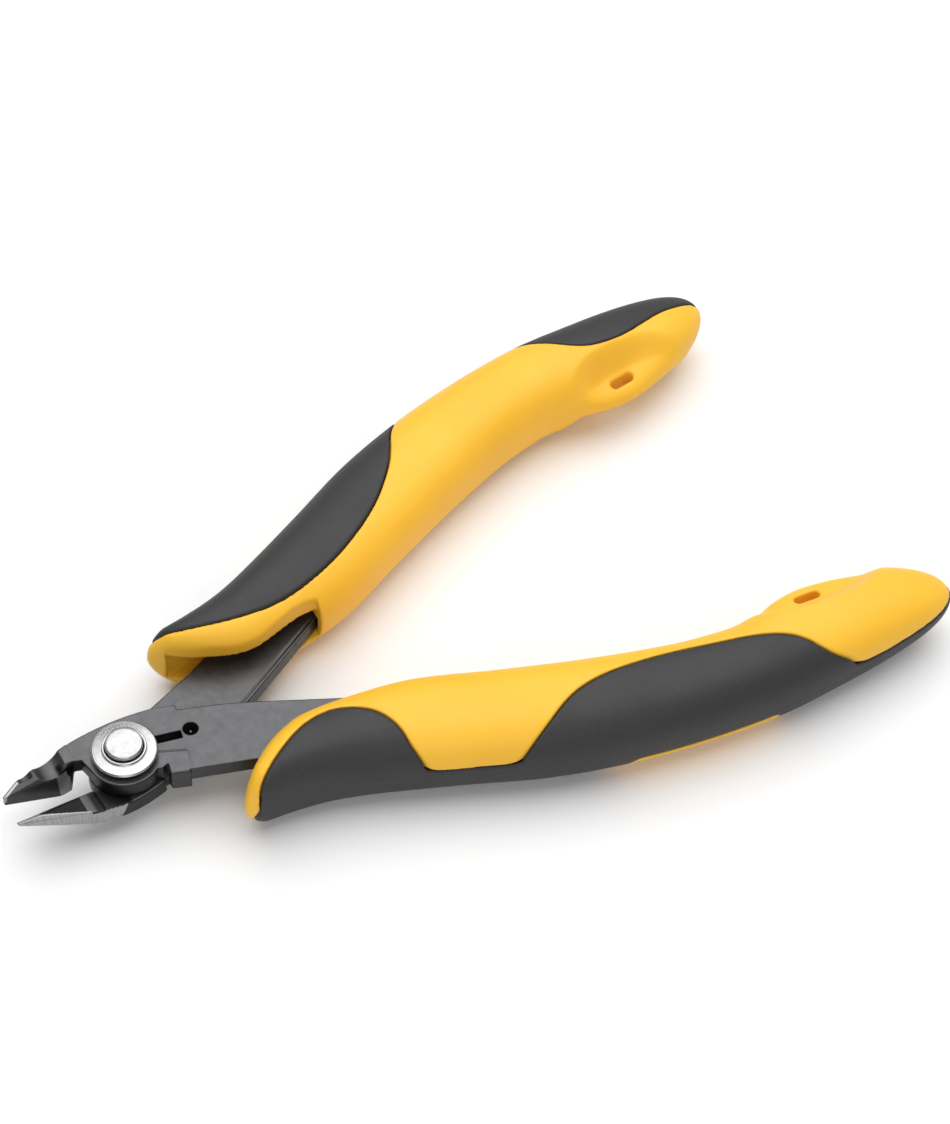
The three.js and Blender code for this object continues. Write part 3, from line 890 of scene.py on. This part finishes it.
def make_rivet():
    """A shank between two heads with rounded shoulders and slightly crowned faces."""
    shoulder = HEAD_HIGH - HEAD_SHOULDER
    half = [(HEAD_RADIUS, HEAD_LOW), (HEAD_RADIUS, shoulder)]
    half += [(HEAD_RADIUS - HEAD_ROUND + HEAD_ROUND * math.cos(a), shoulder + HEAD_ROUND * math.sin(a))
             for a in np.radians((20, 40, 58, 72))]
    half += [(r, HEAD_HIGH - HEAD_CROWN * r ** 2) for r in (2.2, 1.8, 1.4, 1, 0.5, 0)]
    upper = [(RIVET_RADIUS, 0), (RIVET_RADIUS, HEAD_LOW - 0.05), (RIVET_RADIUS + 0.05, HEAD_LOW), *half]
    lower = [(r, -z) for r, z in reversed(upper[1:])]
    points, squares = turn(lower + upper, False)
    piece = add_piece("pivot_rivet_steel", points, squares, RIVET)
    weld(piece)
    finish_piece(piece, FRONT, "rivet_steel", "pivot_rivet")


def make_washers():
    """A low cone with turned rings, undercut at its rim, and a raised collar round the rivet's head."""
    low, edge, top = WASHER_LOW, WASHER_EDGE, WASHER_TOP
    bore = HEAD_RADIUS + 0.08
    profile = [(RIVET_HOLE, low), (WASHER_RADIUS - 0.7, low), (WASHER_RADIUS - 0.1, edge - 0.35),
               (WASHER_RADIUS, edge - 0.2), (WASHER_RADIUS - 0.04, edge - 0.08), (WASHER_RADIUS - 0.16, edge)]
    rings = np.linspace(0, 1, 30)
    profile += [(WASHER_RADIUS - 0.22 - CONE_RUN * t,
                 edge + 0.03 + CONE_RISE * t + TOOL_RIPPLE * math.sin(TOOL_PITCH * t)) for t in rings]
    profile += [(3.3, top - 0.5), (3.24, top - 0.06), (3.18, top), (bore + 0.06, top), (bore, top - 0.06),
                (bore, HEAD_LOW - 0.05), (RIVET_HOLE, HEAD_LOW - 0.1)]
    points, squares = turn(profile, True)
    for name, points in (("front_washer", points), ("rear_washer", turned_over(points))):
        piece = add_piece(name + "_steel", points, squares, WASHER)
        finish_piece(piece, FRONT, "washer_steel", name)


def make_spring():
    """One turn of wire round the rivet, with a leg held in each lever."""
    start = math.degrees(math.atan2(LEG_HOLE[1], LEG_HOLE[0]))
    leg_end = math.hypot(*LEG_HOLE)
    path = [(leg_end, start, z) for z in (1.9, 1.4, 0.95)]
    path += [(leg_end - 0.12, start, 0.55), (leg_end - 0.45, start, LEG_Z)]
    path += [(r, start, LEG_Z) for r in (8.5, 7, 5.5, 4.6, 4)]
    path += [(3.55, start + 3, LEG_Z), (3.28, start + 10, LEG_Z)]
    path += [(COIL_RADIUS, angle, LEG_Z * (1 - smooth_step((angle - 20) / 160)))
             for angle in np.arange(20, 181, 8)]
    half = np.array([(r * math.cos(math.radians(a)), r * math.sin(math.radians(a)), z) for r, a, z in path])
    line = np.vstack([half, turned_over(half)[::-1][1:]])
    points, squares = tube(spline(line, 4), WIRE)
    piece = add_piece("return_spring_wire", points, squares, WIRE_STEEL)
    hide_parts("return_spring")
    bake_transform(piece)


def make_handles():
    """A core and a grip for each side, the near ones being the far ones turned over."""
    low, high = (HANDLE_START - 0.7, 5, -7.8), (HANDLE_END + 0.7, 40.5, 7.8)
    kinds = (("core", core_field, CORE, "handle_core"), ("grip", grip_field, GRIP, "handle_grip"))
    for kind, field, material, slot in kinds:
        points, squares = sculpt(field, low, high, HANDLE_STEP)
        for side, body_name, placed in (("far", REAR, points), ("near", FRONT, turned_over(points))):
            name = side + "_handle_" + kind
            piece = add_piece(name + "_moulding", placed, squares, material)
            mark(piece, "seam", points[:, 2] + 1.2 * (1 - smooth_step((points[:, 0] - 20) / 60)))
            finish_piece(piece, body_name, slot, name)


make_levers()
make_rivet()
make_washers()
make_spring()
make_handles()


# ---- floor, light and camera ----

FLOOR_HALF = 3
WORLD_STRENGTH = 0.3
# Place in millimetres, width in metres, and power in watts
LIGHTS = {"softbox": ((200, 280, 930), 1.5, 13), "front_fill": ((-300, -600, 500), 0.6, 1.5)}
AZIMUTH, ELEVATION, ROLL = (math.radians(angle) for angle in (-36.17, 52.10, 5.34))
LENS = 78.9
EYE = (-74.811, -182.708, 301.297)


def make_floor():
    mesh = bpy.data.meshes.new("floor")
    corners = [(x * FLOOR_HALF, y * FLOOR_HALF, 0) for x, y in ((-1, -1), (1, -1), (1, 1), (-1, 1))]
    mesh.from_pydata(corners, [], [(0, 1, 2, 3)])
    mesh.materials.append(floor_paint())
    floor = bpy.data.objects.new("floor", mesh)
    bpy.context.scene.collection.objects.link(floor)


def add_light(name, place_mm, size, power):
    data = bpy.data.lights.new(name, "AREA")
    data.shape = "DISK"
    data.size = size
    data.energy = power
    lamp = bpy.data.objects.new(name, data)
    lamp.location = Vector(place_mm) * MM
    lamp.rotation_euler = lamp.location.to_track_quat("Z", "Y").to_euler()
    bpy.context.scene.collection.objects.link(lamp)


def make_lights():
    world = bpy.data.worlds.new("studio")
    world.use_nodes = True
    world.node_tree.nodes["Background"].inputs["Color"].default_value = (1, 1, 1, 1)
    world.node_tree.nodes["Background"].inputs["Strength"].default_value = WORLD_STRENGTH
    bpy.context.scene.world = world
    for name, (place_mm, size, power) in LIGHTS.items():
        add_light(name, place_mm, size, power)


def make_camera():
    """Turned and tipped to face the head, then rolled about the line of sight."""
    right = Vector((math.cos(AZIMUTH), math.sin(AZIMUTH), 0))
    back = Vector((math.sin(AZIMUTH) * math.cos(ELEVATION), -math.cos(AZIMUTH) * math.cos(ELEVATION),
                   math.sin(ELEVATION)))
    up = back.cross(right)
    across = right * math.cos(ROLL) + up * math.sin(ROLL)
    upward = up * math.cos(ROLL) - right * math.sin(ROLL)
    data = bpy.data.cameras.new("camera")
    data.sensor_width = 36
    data.lens = LENS
    data.clip_start = 0.01
    camera = bpy.data.objects.new("camera", data)
    eye = Vector(EYE) * MM + Vector(PIVOT)
    turned = Matrix((across, upward, back)).transposed().to_4x4()
    camera.matrix_world = Matrix.Translation(eye) @ turned
    bpy.context.scene.collection.objects.link(camera)
    bpy.context.scene.camera = camera


make_floor()
make_lights()
make_camera()
bpy.context.scene.view_settings.view_transform = "Standard"
